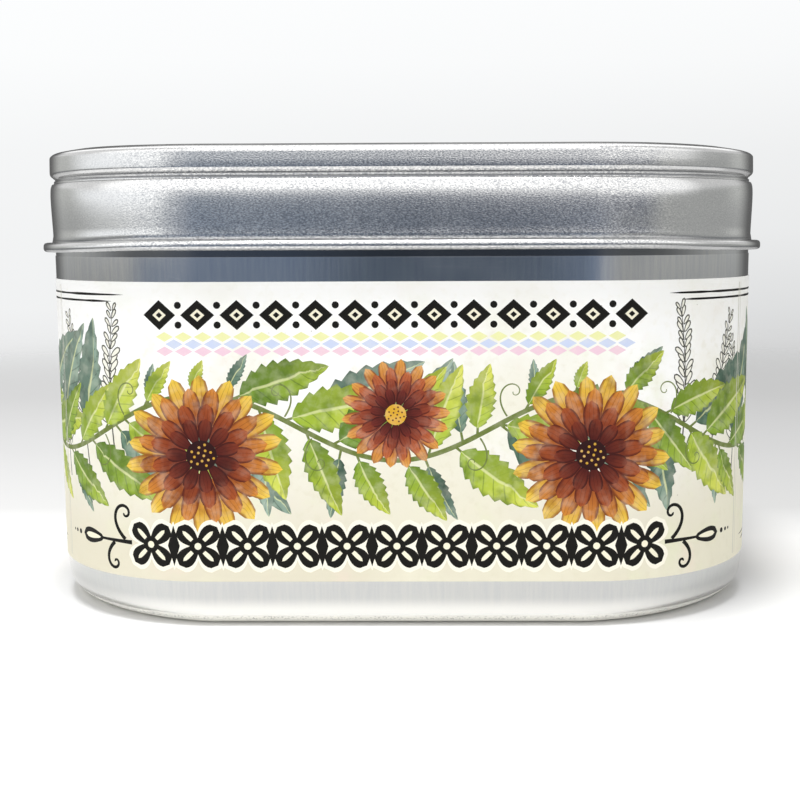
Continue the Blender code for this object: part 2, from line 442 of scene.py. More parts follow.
# creases are heights in mm with the share of painted shade between them, and the last value is how much of
# that shade is left near the corners.
wall_metal = tinplate(
    "drawn_tinplate", fleck=(0.5, 0.5), fleck_depth=0.0015, streak_depth=0.003, roughness=0.09,
    streaky=1.0, tones=("#cacbcd", "#d4d4d2"), dusty=0.30,
    creases=((72.96, 90.0, 0.9),), shade_at_corners=0.17)
lid_metal = tinplate(
    "flecked_tinplate", fleck=(0.42, 0.21), fleck_depth=0.016, streak_depth=0.0, roughness=0.13,
    streaky=0.0, tones=("#9b9da1", "#f2f1ee"), dusty=0.06,
    creases=((73.0, 74.72, 0.40), (76.1, 76.3, 0.4), (88.1, 88.5, 0.85), (89.07, 89.22, 0.5)), shade_at_corners=0.6)
print("metals:", wall_metal.name, lid_metal.name)

# %% [markdown]
# ## The can
# The can is drawn from one sheet, so it has no seams: a flat bottom, a rounded base edge and a straight
# wall. Just under the lid's curl the wall steps in a little to a neck, so that the lid can slip over
# it. The inside is made too, because the lid can be taken off in another scene. All of it is one
# section, carried round.

# %% Can
SHEET = 0.3
BASE_EDGE_RADIUS = 4.2
CAN_RIM = 86.6
NECK_HEIGHT = 72.95
NECK_IN = 0.12


def can_section():
    """From the middle of the floor, up the inside, over the rim and down the outside."""
    edge_centre = (-BASE_EDGE_RADIUS, BASE_EDGE_RADIUS)
    inner = BASE_EDGE_RADIUS - SHEET
    floor = [(-34.0, SHEET), (-22.0, SHEET), (-12.0, SHEET)]
    inner_edge = arc(edge_centre, (inner, inner), -90, 0, 8)
    inner_wall = straight(inner_edge[-1], (-SHEET, NECK_HEIGHT - 0.5), 8)
    inner_neck = straight((-SHEET - NECK_IN, NECK_HEIGHT), (-SHEET - NECK_IN, CAN_RIM), 5)
    rim = arc((-SHEET / 2 - NECK_IN, CAN_RIM), (SHEET / 2, SHEET / 4), 150, 0, 4)
    outer_neck = straight(rim[-1], (-NECK_IN, NECK_HEIGHT + 0.02), 5)
    wall = straight((0.0, NECK_HEIGHT), (0.0, BASE_EDGE_RADIUS), 26)
    outside = [*outer_neck, (0.0, NECK_HEIGHT), *wall]
    outer_edge = arc(edge_centre, (BASE_EDGE_RADIUS, BASE_EDGE_RADIUS), 0, -90, 14)[1:]
    underside = [(-12.0, 0.0), (-22.0, 0.0), (-34.0, 0.0)]
    return floor + inner_edge + inner_wall + inner_neck + rim + outside + outer_edge + underside


can = rounded_piece("can_body", can_section(), wall_metal, wobble=0.05, wobble_length=26.0, seed=3)

# %% [markdown]
# ## The lid's outer skin
# The lid is drawn from one sheet as well: a plain skirt, a groove pressed in all round that rests on the
# can's rim, a soft shoulder, and a low crest round the flat panel. On bright metal the eye reads such a
# form only from the bands that it reflects, white where the skin leans back to the ceiling and dark
# where it stands upright. So the skin is drawn by its lean: the table gives, at distances along the
# skin from the curl upward, by how many degrees it leans back, and the skin is bent step by step like a
# wire. Points stand close only where it bends.

# %% Bend the outer skin
SKIRT_FOOT = (0.70, 76.2)
LEAN = (
    (0.0, 7), (0.5, 5), (1.4, 1.5), (2.5, 0), (5.8, 0.9), (7.0, 1.3), (8.19, 2.3), (9.19, 4.0), (10.01, 6.7),
    (10.7, 12.2), (11.18, 21.9), (11.53, 30), (11.93, 83.8), (12.11, 56), (12.21, 0), (12.32, 1.4),
    (12.52, 1.3), (12.59, 38.2), (12.75, 66.4), (12.89, 43.8), (12.95, 2.5), (13.06, -10.9), (13.19, -47.6),
    (13.49, -52), (13.89, -50), (14.25, -31), (14.65, -7.8), (14.93, 2.2), (15.28, 2), (15.9, 2.7),
    (16.95, 2.9), (17.69, 1.8), (17.91, 20.3), (18.17, 42.3), (18.5, 53), (18.88, 67.8), (19.64, 77.7),
    (21.35, 80.4), (22.72, 78.4), (23.17, 90),
)
WIRE_STEP = 0.02
MOST_BEND = 5.0
MOST_RUN = 1.3


def bend_skin():
    """The skin's points from the skirt's foot to the crest."""
    marks = np.array(LEAN)
    along = np.arange(0.0, marks[-1, 0], WIRE_STEP)
    lean = np.interp(along, marks[:, 0], marks[:, 1])
    out = SKIRT_FOOT[0] - np.cumsum(np.sin(np.radians(lean))) * WIRE_STEP
    up = SKIRT_FOOT[1] + np.cumsum(np.cos(np.radians(lean))) * WIRE_STEP
    kept = [0]
    for i in range(1, len(along)):
        bend = abs(lean[i] - lean[kept[-1]])
        if bend > MOST_BEND or along[i] - along[kept[-1]] > MOST_RUN:
            kept.append(i)
    return [(float(out[i]), float(up[i])) for i in kept]


skin = bend_skin()
groove = min(point for point in skin if point[1] < 90.0)
print("skin points:", len(skin), "groove in mm:", [round(c, 2) for c in groove])
print("crest in mm:", [round(c, 2) for c in skin[-1]])

# %% [markdown]
# ## The lid
# From the middle out, the lid has a thin panel that is set a little lower than the crest and rises
# very slightly to its middle, as pressed panels do. At the foot of the skirt the edge is rolled outward
# into a small tube, the curl, so that no sharp edge is left. The roll is pressed a little flat on its
# outside, so it is drawn as an ellipse whose sine and cosine are raised to a power below one. The inside
# runs parallel to the outside, a sheet's thickness further in, through a third as many points. Solidify
# could give that thickness, but a parallel line keeps it even where the groove bends tightly.

# %% Lid
LID_CLEARANCE = 0.3
CURL_HEIGHT = 75.22
CURL_RADII = (1.1, 1.0)
CURL_SQUARENESS = 0.70
PANEL_EDGE = (-8.9, 93.85)
PANEL_MIDDLE = (-34.0, 94.70)
CREST = [(-8.3, 93.96), (-7.7, 94.2), (-7.1, 94.46), (-6.4, 94.6), (-5.6, 94.64)]
CURL_STEPS = 36


def inner_skin(points, thickness):
    """The line that runs parallel to a section's outer skin, on its inner side."""
    skin = []
    for i, point in enumerate(points):
        before, after = points[max(i - 1, 0)], points[min(i + 1, len(points) - 1)]
        normals = []
        for a, b in ((before, point), (point, after)):
            length = math.hypot(b[0] - a[0], b[1] - a[1])
            if length > 0.0:
                normals.append(((b[1] - a[1]) / length, (a[0] - b[0]) / length))
        mean = [sum(n[k] for n in normals) / len(normals) for k in (0, 1)]
        stretch = thickness / (mean[0] ** 2 + mean[1] ** 2)
        skin.append((point[0] + mean[0] * stretch, point[1] + mean[1] * stretch))
    return skin


def lid_section():
    """From the middle of the panel, over the crest, down the outside, round the curl and back inside."""
    panel = [PANEL_MIDDLE] + straight(PANEL_MIDDLE, PANEL_EDGE, 6)
    outside = panel + CREST + skin[::-1]
    centre = (LID_CLEARANCE + CURL_RADII[0], CURL_HEIGHT)
    start = math.acos((SKIRT_FOOT[0] - centre[0]) / CURL_RADII[0])
    curl = []
    for i in range(CURL_STEPS + 1):
        turn = start + (-math.pi - start) * i / CURL_STEPS
        parts = (math.cos(turn), math.sin(turn))
        parts = [math.copysign(abs(part) ** CURL_SQUARENESS, part) for part in parts]
        curl.append(tuple(c + radius * part for c, radius, part in zip(centre, CURL_RADII, parts)))
    inside = inner_skin(outside, SHEET)[::-1]
    return outside + curl + inside[:1] + inside[1:-1:3] + inside[-1:]


lid = rounded_piece("lid_shell", lid_section(), lid_metal, wobble=0.06, wobble_length=22.0, seed=8)

# %% [markdown]
# ## Ends and corners
# One section all round is a good start, but drawn sheet isn't quite the same everywhere. Towards its
# ends this lid flares a little, its curl hangs lower and on the left its crest rises, all by half a
# millimetre at most, and the can's foot is drawn in by two and a half at the corners. Such small moves
# are made on the finished points. A row below gives a height, the move outward, and the rise on the left
# and on the right.


# %% Move the points at the ends and corners
def smooth_share(value, start, end):
    t = np.clip((value - start) / (end - start), 0.0, 1.0)
    return t * t * (3.0 - 2.0 * t)


def reshape(piece, move):
    """Moves every point of a piece by a function of its x, y and z in millimetres."""
    places = np.empty(len(piece.data.vertices) * 3, np.float32)
    piece.data.vertices.foreach_get("co", places)
    moved = np.stack(move(*(places.reshape(-1, 3).T / MM)), 1) * MM
    piece.data.vertices.foreach_set("co", moved.astype(np.float32).ravel())
    piece.data.update()


LID_ENDS = ((74.0, -0.14, -0.50, -0.50), (76.2, -0.20, -0.50, -0.50), (77.5, -0.36, -0.40, -0.40),
            (80.5, -0.22, -0.25, -0.25), (84.0, -0.02, -0.15, -0.15), (86.5, 0.14, -0.12, -0.12),
            (89.0, 0.34, -0.05, -0.05), (93.0, 0.40, 0.05, -0.02), (94.6, 0.22, 0.15, -0.08))
FOOT_HEIGHT = 10.0
FOOT_PULL = 2.6


def flare_ends(x, y, z):
    share = smooth_share(np.abs(x), 45.0, 70.0)
    heights, outward, left, right = np.array(LID_ENDS).T
    rise = np.where(x < 0.0, np.interp(z, heights, left), np.interp(z, heights, right))
    return x + np.sign(x) * share * np.interp(z, heights, outward), y, z + share * rise


def draw_in_corners(x, y, z):
    """Shrinks the foot's rings towards the middle of each corner's arc."""
    over_x = np.clip(np.abs(x) - FRONT_HALF, 0.0, None)
    over_y = np.clip(np.abs(y) - SIDE / 2, 0.0, None)
    cornered = 2.0 * over_x * over_y / np.maximum(over_x ** 2 + over_y ** 2, 1e-9)
    pull = FOOT_PULL / CORNER_RADIUS * cornered * np.clip(1.0 - z / FOOT_HEIGHT, 0.0, 1.0) ** 2
    return x - np.sign(x) * over_x * pull, y - np.sign(y) * over_y * pull, z


reshape(lid, flare_ends)
reshape(can, draw_in_corners)
print("lid flared by up to", max(row[1] for row in LID_ENDS), "mm, foot drawn in by up to", FOOT_PULL, "mm")

# %% [markdown]
# ## The label's paper
# The label is one strip of thin uncoated paper, glued round the can below the neck, and its end laps
# over its start in the middle of the back. A printed picture is only colour, so nothing here stands
# proud. It could be an image texture, but here the drawing is cut into the paper's own surface as an
# inlay: every outline becomes edges in a flat triangle mesh, the triangles inside it carry the ink, and
# the whole sheet is then wrapped round the can. That keeps each printed edge sharp from any distance.

# %% The strip and how it wraps
LABEL_BOTTOM = 9.25
LABEL_TOP = 68.25
LABEL_GAP = 0.02
PAPER_THICKNESS = 0.11
OVERLAP = 7.0
RISE_START = 5.0
RISE_LENGTH = 4.5


def wrap(along, out):
    """x, y of points at a distance along the can's face from the middle of its front, and out from it."""
    a = np.abs(along)
    turn_1 = np.clip((a - FRONT_HALF) / CORNER_RADIUS, 0.0, math.pi / 2)
    turn_2 = np.clip((a - FRONT_HALF - CORNER_LENGTH - SIDE) / CORNER_RADIUS, 0.0, math.pi / 2)
    angle = turn_1 + turn_2
    up_side = np.clip(a - FRONT_HALF - CORNER_LENGTH, 0.0, SIDE)
    back = np.clip(a - HALF_ROUND + FRONT_HALF, 0.0, None)
    reach = CORNER_RADIUS + out
    x = np.minimum(a, FRONT_HALF) + reach * np.sin(angle) - back
    y = -SIDE / 2 - reach * np.cos(angle) + up_side
    return np.where(along < 0, -x, x), y


def lift(along):
    """How far the paper's inner face stands out from the can: more where its end laps over its start."""
    t = np.clip((along - HALF_ROUND + RISE_START) / RISE_LENGTH, 0.0, 1.0)
    return LABEL_GAP + (PAPER_THICKNESS + 0.01) * t * t * (3.0 - 2.0 * t)


print("the strip is", round(2 * HALF_ROUND + OVERLAP, 1), "mm long and",
      round(LABEL_TOP - LABEL_BOTTOM, 1), "mm tall")

# %% [markdown]
# ## Outlines and their inks
# The drawing is a list of closed outlines in millimetres, along and up the strip, and later ones lie on
# top. Each has an ink, a second ink for its veins and edge, and a map that tells for any point how far
# along the shape it is and how far to its side, where one is the edge. The paper's shader draws the veins
# and the darker edge from that map.

# %% The list of outlines
drawing = []


def ink_shape(outline, ink, second=None, tip=None, across=None, veins=0.0):
    """Adds one outline. across turns points into (along, side); veins is how many veins are drawn."""
    outline = np.asarray(outline, float)
    x, y = outline[:, 0], outline[:, 1]
    if np.sum(x * np.roll(y, -1) - y * np.roll(x, -1)) < 0.0:
        outline = outline[::-1]
    if outline[:, 0].max() < -HALF_ROUND or outline[:, 0].min() > HALF_ROUND + OVERLAP:
        return
    first = np.array(linear(ink))
    drawing.append({
        "outline": outline, "ink": first, "tip": first if tip is None else np.array(linear(tip)),
        "second": first if second is None else np.array(linear(second)), "across": across, "veins": veins})


def side_map(line, half_width, profile):
    """A map from points to (along, side) of a line, where side is 1 at half_width times profile(along)."""
    def across(points):
        starts, spans = line[:-1], line[1:] - line[:-1]
        away = points[:, None, :] - starts[None]
        t = np.clip((away * spans).sum(2) / (spans ** 2).sum(1), 0.0, 1.0)
        gaps = away - t[..., None] * spans
        nearest = (gaps ** 2).sum(2).argmin(1)
        rows = np.arange(len(points))
        gap, span = gaps[rows, nearest], spans[nearest]
        side = (span[:, 0] * gap[:, 1] - span[:, 1] * gap[:, 0]) / np.hypot(*span.T)
        along = (nearest + t[rows, nearest]) / len(spans)
        return along, side / (half_width * np.maximum(profile(along), 0.15))
    return across


# %% [markdown]
# ## Leaves, petals, dots and strokes
# Every motif is one of four shapes. A leaf and a petal are a bent middle line with a width that swells
# and closes again along it, and a leaf's edge also has teeth.


# %% Lines and blades
def bent_line(base, angle, length, bend, steps):
    """Points along a line that starts at base in a direction and bows to one side."""
    t = np.linspace(0.0, 1.0, steps + 1)
    forward = np.array([math.cos(angle), math.sin(angle)])
    sideways = np.array([-forward[1], forward[0]])
    return np.asarray(base) + np.outer(t * length, forward) + np.outer(bend * length * t * t, sideways)


def normals_of(line):
    """At each point of a line, the unit direction to its left."""
    tangent = np.gradient(line, axis=0)
    return np.stack([-tangent[:, 1], tangent[:, 0]], 1) / np.hypot(*tangent.T)[:, None]


def blade(line, width, profile, teeth=0, depth=0.0):
    """The outline of a leaf or petal whose half width along the line is width / 2 times profile(t)."""
    t = np.linspace(0.0, 1.0, len(line))
    half = width / 2 * profile(t)
    if teeth:
        half = half * (1.0 - depth * (1.0 - (t * teeth) % 1.0))
    reach = normals_of(line) * half[:, None]
    left, right = line + reach, line - reach
    return np.concatenate([line[:1], left[1:-1], line[-1:], right[1:-1][::-1]])


# %% [markdown]
# A leaf is widest near its foot and a petal past its middle. A dot is a polygon, and a stroke is a line
# whose width may run out, like a pen's.

# %% Leaf, petal, dot and stroke
LEAF_TEETH = 8
TOOTH_DEPTH = 0.27


def leaf_profile(t):
    return np.sin(math.pi * np.clip(t, 0.0, 1.0) ** 0.75) ** 0.85


def petal_profile(t):
    return 0.25 + 0.75 * np.sin(math.pi * np.clip(t, 0.0, 1.0) ** 1.5) ** 0.6


def leaf(base, angle, length, width, bend, ink, second, tip):
    line = bent_line(base, angle, length, bend, steps=4 * LEAF_TEETH)
    outline = blade(line, width, leaf_profile, LEAF_TEETH, TOOTH_DEPTH)
    ink_shape(outline, ink, second, tip, side_map(line, width / 2, leaf_profile), veins=LEAF_TEETH)


def petal(base, angle, length, width, ink, second, tip, streaks=-2.0):
    line = bent_line(base, angle, length, 0.0, steps=9)
    outline = blade(line, width, petal_profile)
    ink_shape(outline, ink, second, tip, side_map(line, width / 2, petal_profile), veins=streaks)


def dot(centre, radius, ink, sides=12):
    turns = np.arange(sides) * math.tau / sides
    ink_shape(np.asarray(centre) + radius * np.stack([np.cos(turns), np.sin(turns)], 1), ink)


def stroke(line, width, ink, end_width=None):
    """A drawn line whose width runs from width to end_width."""
    line = np.asarray(line, float)
    half = np.linspace(width, width if end_width is None else end_width, len(line))[:, None] / 2
    reach = normals_of(line) * half
    ink_shape(np.concatenate([line + reach, (line - reach)[::-1]]), ink)


# %% [markdown]
# ## The motifs
# The label carries a plain folk pattern: a vine that waves round the tin with a flower head in every
# bay. The flower heads are rings of petals, laid from the rim inward. Grey pen-drawn seed heads stand
# behind the leaves, and thin tendrils curl off the vine. One seeded source of chance keeps the drawing
# the same in every run.

# %% Motifs
VINE_WAVES = 6
VINE_PERIOD = 2 * HALF_ROUND / VINE_WAVES
VINE_MIDDLE = 40.0
VINE_SWING = 6.5
BLACK = "#141310"
CREAM = "#f1ecd4"
HALO = "#f6f2e2"
PEN_GREY = "#4a4a43"
SEED_WHITE = "#f4f2e6"
SEED_STEPS = 19
STALK = "#6b7a3c"
PETAL_RINGS = ((1.0, 18), (0.84, 16), (0.66, 13), (0.47, 11))
STAMENS = 14
GOLDEN_ANGLE = 2.399963
chance = random.Random(11)


def vine_height(s):
    return VINE_MIDDLE - VINE_SWING * math.cos(math.tau * s / VINE_PERIOD)


def flower(centre, radius, rings, middle):
    """A flower head: rings of petals from the rim inward, and a dotted middle."""
    for (reach, count), inks in zip(PETAL_RINGS, rings):
        start = chance.uniform(0.0, 1.0)
        for i in range(count):
            angle = (i + start) * math.tau / count + chance.uniform(-0.04, 0.04)
            near = radius * reach * 0.28
            base = (centre[0] + near * math.cos(angle), centre[1] + near * math.sin(angle))
            length = radius * reach * 0.72 * chance.uniform(0.95, 1.04)
            petal(base, angle, length, radius * reach * 1.30 * math.pi / count, *inks)
    dot(centre, radius * 0.19, middle[0], 20)
    for i in range(STAMENS):
        turn = i * GOLDEN_ANGLE
        far = radius * 0.155 * math.sqrt((i + 0.5) / STAMENS)
        place = (centre[0] + far * math.cos(turn), centre[1] + far * math.sin(turn))
        dot(place, radius * 0.018, middle[1], 6)


def seed_head(base, angle, size, bend):
    """A pen-drawn plume: one bent stem with open seeds in pairs that get smaller to its tip."""
    stem = bent_line(base, angle, size, bend, SEED_STEPS)
    stroke(stem, 0.36, PEN_GREY, 0.16)
    side = normals_of(stem)
    for i in range(4, SEED_STEPS + 1):
        share = i / SEED_STEPS
        heading = math.atan2(-side[i][0], side[i][1])
        for hand in (-1, 1):
            lean = heading + hand * math.radians(chance.uniform(30.0, 58.0) - 14.0 * share)
            length = (4.4 - 2.3 * share) * chance.uniform(0.85, 1.15)
            foot = stem[i] + 0.25 * np.array([math.cos(lean), math.sin(lean)])
            inner = foot + 0.32 * np.array([math.cos(lean), math.sin(lean)])
            petal(foot, lean, length, 0.42 * length, PEN_GREY, PEN_GREY, PEN_GREY, 0.0)
            petal(inner, lean, length - 0.64, 0.42 * length - 0.5, SEED_WHITE, SEED_WHITE, SEED_WHITE, 0.0)


def tendril(base, angle, size, side, ink, width):
    """A thin line that curls up more and more tightly."""
    turns = np.linspace(0.0, 1.0, 34)
    heading = angle + side * 7.5 * turns ** 1.6
    step = size * (1.0 - 0.86 * turns) / 12
    line = np.asarray(base) + np.cumsum(np.stack([np.cos(heading) * step, np.sin(heading) * step], 1), 0)
    stroke(line, width, ink, width / 2)


print("the vine waves", VINE_WAVES, "times round the tin, every", round(VINE_PERIOD, 1), "mm")

# %% [markdown]
# ## The running vine
# Leaves are set along the vine by turns above and below it. The grey green ones are drawn first and lie
# behind, then the stem, then the lime ones, and the flowers cover the places where leaves would crowd.
# The front corners are left to the leaves and to the seed heads.

# %% Leaves along the vine
LIME = (
    ("#84a332", "#3d5a22", "#c6d04a"), ("#9bb63a", "#4f6c26", "#dade58"), ("#6f9030", "#365420", "#adc244"),
    ("#a9bf3e", "#5a762a", "#e2e268"))
GREY_GREEN = (("#688571", "#2c4137", "#a3b8aa"), ("#56735f", "#263a30", "#8ba394"))
RUST = (
    (("#b8692a", "#7a3a1c", "#edca4c"), ("#8f3f20", "#5c2418", "#d08636"), ("#6d281a", "#451714", "#a4522a"),
     ("#481817", "#300f10", "#7c3522")),
    ("#2c1213", "#c99a34"))
WINE = (
    (("#a44a2e", "#6b2a20", "#e0a04a"), ("#86332a", "#55201e", "#c06a3e"), ("#64261f", "#401516", "#98482f"),
     ("#451918", "#2e1011", "#752f26")),
    ("#d9a834", "#5c2b28"))
FRONT_HIGHEST_TIP = 52.5
CORNER_HIGHEST_TIP = 61.0
LOWEST_TIP = 22.5


def leaves_along(spacing, first, lengths, leans, shape, inks, stalk):
    """Leaves set along the vine by turns above and below it, leaning off its direction."""
    count = int((2 * HALF_ROUND + OVERLAP) / spacing)
    for i in range(-4, count + 4):
        s = -HALF_ROUND + first + i * spacing + chance.uniform(-0.6, 0.6)
        slope = math.atan2(vine_height(s + 0.5) - vine_height(s - 0.5), 1.0)
        side = 1 if i % 2 else -1
        angle = slope + side * math.radians(chance.uniform(*leans))
        length = chance.uniform(*lengths)
        end = vine_height(s) + (length + stalk) * math.sin(angle)
        highest = FRONT_HIGHEST_TIP if abs(s) < 50.0 else CORNER_HIGHEST_TIP
        length -= max(0.0, end - highest) + max(0.0, LOWEST_TIP - end)
        foot = (s + stalk * math.cos(angle), vine_height(s) + stalk * math.sin(angle))
        stroke(bent_line((s, vine_height(s)), angle, stalk + 1.5, 0.0, 3), 0.55, STALK, 0.4)
        leaf(foot, angle, length, length * chance.uniform(*shape), -side * chance.uniform(0.02, 0.16),
             *inks[chance.randrange(len(inks))])


print("inks of the leaves:", len(LIME), "greens and", len(GREY_GREEN), "grey greens")

# %% [markdown]
# Everything is laid in the order of painting, because what is drawn later covers what lies below it: seed
# heads, grey green leaves, the stem, lime leaves, and then the tendrils and flower heads of each bay. The
# bays at the middle of the two front corners get no flower head.

# %% Draw the vine
SEED_HEADS = (
    (57.0, 28.0, 0.14), (65.0, 31.0, -0.10), (74.0, 27.0, 0.16),
    (136.0, 26.0, 0.2), (146.0, 29.0, -0.15), (156.0, 25.0, 0.12))
LOW_FLOWER = (34.5, 16.0, RUST)
HIGH_FLOWER = (42.5, 10.8, WINE)

for s, size, bend in SEED_HEADS:
    for side in (-1, 1):
        seed_head((side * s, vine_height(s) - 6.0), math.pi / 2 - side * 0.12, size, side * bend)
leaves_along(7.7, 2.0, (27.0, 33.0), (58.0, 84.0), (0.34, 0.42), GREY_GREEN, 2.0)
for start in np.arange(-HALF_ROUND - 12.0, HALF_ROUND + OVERLAP + 12.0, 12.0):
    stroke([(s, vine_height(s)) for s in np.linspace(start, start + 12.2, 13)], 0.95, STALK)
leaves_along(4.7, 4.0, (16.0, 23.0), (28.0, 66.0), (0.40, 0.54), LIME, 1.5)

for k in range(-VINE_WAVES, VINE_WAVES + 1):
    s = k * VINE_PERIOD / 2
    low = k % 2
    for side in (-1, 1):
        tendril((s + side * 16.0, vine_height(s + 16.0)), 1.57 - side * 0.6 if low else -1.57 + side * 0.6,
                8.0, side if low else -side, STALK, 0.34)
    if abs(k) == 2:
        continue
    height, radius, inks = LOW_FLOWER if low else HIGH_FLOWER
    flower((s, height), radius, *inks)
print("outlines so far:", len(drawing))

# %% [markdown]
# ## Bands and rules
# A band of black lozenges above and a band of black crossed leaves below frame the vine at the front
# and the back. Rows of pale tinted lozenges hang under the upper one, and a cream halo sets the lower
# one off. Pen scrolls, a drop and three dots end the lower band, and round the corners pairs of thin rules
# run on. Pen lines are never quite even, so the rules swell and thin a little.

# %% Bands
UPPER_BAND = 61.9
LOWER_BAND = 16.4
TINTS = ((57.7, "#eff0b2"), (56.3, "#cfd9f1"), (54.9, "#f0cfdd"))
TINT_PITCH = 3.8
LOZENGE_PITCH = 7.6
LOZENGES_EACH_WAY = 6
CROSS_PITCH = 9.8
CROSSES_EACH_WAY = 5


def lozenge(centre, half_width, half_height, ink):
    s, up = centre
    ink_shape([(s + half_width, up), (s, up + half_height), (s - half_width, up), (s, up - half_height)], ink)


def crossed_leaves(middle):
    """The lower band: first all its halo, then the crossed leaves and the lozenges between them."""
    for width, length, ink in ((5.2, 6.3, HALO), (3.7, 5.5, BLACK), (0.9, 4.3, CREAM)):
        for i in range(-CROSSES_EACH_WAY, CROSSES_EACH_WAY + 1):
            s = middle + i * CROSS_PITCH
            for turn in range(4):
                angle = turn * math.pi / 2 + math.pi / 4
                petal((s, LOWER_BAND), angle, length, width, ink, ink, ink, 0.0)
            if i < CROSSES_EACH_WAY and ink != CREAM:
                grow = 0.8 if ink == HALO else 0.0
                lozenge((s + CROSS_PITCH / 2, LOWER_BAND), 1.25 + grow, 4.1 + grow, ink)
    for i in range(-CROSSES_EACH_WAY, CROSSES_EACH_WAY + 1):
        dot((middle + i * CROSS_PITCH, LOWER_BAND), 1.7, BLACK)
        dot((middle + i * CROSS_PITCH, LOWER_BAND), 0.7, CREAM)


def lozenge_rows(middle):
    """The upper band with pairs of dots between its lozenges, and the tinted rows under it."""
    for i in range(-LOZENGES_EACH_WAY, LOZENGES_EACH_WAY + 1):
        s = middle + i * LOZENGE_PITCH
        for size, ink in ((1.0, BLACK), (0.42, CREAM), (0.2, BLACK)):
            lozenge((s, UPPER_BAND), 3.3 * size, 2.9 * size, ink)
        if i < LOZENGES_EACH_WAY:
            dot((s + LOZENGE_PITCH / 2, UPPER_BAND + 1.9), 0.7, BLACK)
            dot((s + LOZENGE_PITCH / 2, UPPER_BAND - 1.9), 0.7, BLACK)
    for row, (up, ink) in enumerate(TINTS):
        for i in range(-12, 12):
            lozenge((middle + (i + 0.5 * (row % 2) + 0.25) * TINT_PITCH, up), 1.75, 0.95, ink)


# %% [markdown]
# The bands are laid at the middle of the front, and of the back, where the strip's two ends each hold a
# half of them.

# %% Lay the bands
for middle in (0.0, 2 * HALF_ROUND, -2 * HALF_ROUND):
    lozenge_rows(middle)
    crossed_leaves(middle)
    for side in (-1, 1):
        outward = 0.0 if side > 0 else math.pi
        stroke([(middle + side * s, LOWER_BAND) for s in (53.5, 56.0, 59.0, 62.0)], 0.9, BLACK, 0.5)
        for s, size, turn in ((54.6, 8.6, side), (57.6, 6.6, -side)):
            tendril((middle + side * s, LOWER_BAND), outward + turn * 0.7, size, turn, BLACK, 0.85)
        for length, width, ink in ((7.4, 3.2, BLACK), (5.2, 1.2, CREAM)):
            petal((middle + side * (61.2 + (7.4 - length) / 2), LOWER_BAND), outward, length, width,
                  ink, ink, ink, 0.0)
        for s, radius in ((70.2, 0.55), (71.9, 0.42), (73.2, 0.3)):
            dot((middle + side * s, LOWER_BAND), radius, BLACK)
print("with the bands:", len(drawing), "outlines")

# %% [markdown]
# The rules are one long thin outline each, from where the front band ends to where the back band starts, on
# either side. A faint grey pair of upright lines stands at each front corner.

# %% Rules
RULES = ((65.7, 57.0), (64.4, 60.0), (13.4, 84.0), (12.1, 86.0))
RULE_WIDTH = 0.44
FEATHER = 3.5


def rule(side, height, start):
    """A pen-drawn rule round one side of the tin, that runs out to a point at either end."""
    ends = np.linspace(start - FEATHER, 2 * HALF_ROUND - start + FEATHER, 130)
    t = np.minimum(ends - ends[0], ends[-1] - ends) / FEATHER
    half = np.array([chance.uniform(0.36, 0.6) for _ in ends]) * RULE_WIDTH * np.clip(t, 0.08, 1.0)
    upper = np.stack([side * ends, height + half], 1)
    lower = np.stack([side * ends, height - half], 1)
    ink_shape(np.concatenate([upper, lower[::-1]]), BLACK)


for side in (-1, 1):
    for height, start in RULES:
        rule(side, height, start)
    for s, width in ((76.2, 0.35), (77.2, 0.2)):
        stroke([(side * s, LABEL_BOTTOM + 1.0), (side * s, LABEL_TOP - 1.0)], width, "#c9c7ba")
print("the drawing has", len(drawing), "outlines")

# %% [markdown]
# ## From outlines to a printed sheet
# A constrained Delaunay triangulation takes all outlines at once, cuts them where they cross, and says
# which outlines each triangle lies in. The last of them in the drawing's order is the ink that shows.
# Upright cuts every 1.6 mm in the corners let the sheet bend there.

# %% Cut the sheet
STRIP_START = -HALF_ROUND
STRIP_END = HALF_ROUND + OVERLAP
CORNER_FOLDS = 37
LAP_FOLDS = 9
FRONT_FOLD_PITCH = 7.5


def fold_lines():
    """Where the strip is cut upright, so that it can bend round the corners and lift at the lap."""
    lines = [STRIP_START, STRIP_END]
    corner = FRONT_HALF + CORNER_LENGTH / 2
    for middle in (corner, corner + CORNER_LENGTH + SIDE):
        places = np.linspace(middle - CORNER_LENGTH / 2, middle + CORNER_LENGTH / 2, CORNER_FOLDS)
        lines += [*places, *(-places)]
    lines += list(np.linspace(HALF_ROUND - 6.0, HALF_ROUND - 0.5, LAP_FOLDS))
    lines += list(np.arange(-FRONT_HALF + FRONT_FOLD_PITCH, FRONT_HALF - 1.0, FRONT_FOLD_PITCH))
    return sorted(set(round(float(s), 4) for s in lines))


def cut_sheet():
    """Triangles of the flat strip, and for each the number of the outline on top of it, or -1."""
    points, edges, faces = [], [], []
    folds = fold_lines()
    for s in folds:
        points += [(s, LABEL_BOTTOM), (s, LABEL_TOP)]
        edges.append((len(points) - 2, len(points) - 1))
    for i in range(len(folds) - 1):
        edges += [(2 * i, 2 * i + 2), (2 * i + 1, 2 * i + 3)]
    for shape in drawing:
        faces.append(list(range(len(points), len(points) + len(shape["outline"]))))
        points += [tuple(p) for p in shape["outline"]]
    made = delaunay_2d_cdt(points, edges, faces, 0, 1e-4, True)
    flat = np.array([tuple(p) for p in made[0]])
    triangles = np.array([t for t in made[2]])
    tops = np.array([max(ids) if ids else -1 for ids in made[5]])
    centres = flat[triangles].mean(1)
    inside = (centres[:, 0] > STRIP_START) & (centres[:, 0] < STRIP_END)
    inside &= (centres[:, 1] > LABEL_BOTTOM) & (centres[:, 1] < LABEL_TOP)
    return flat, triangles[inside], tops[inside], folds


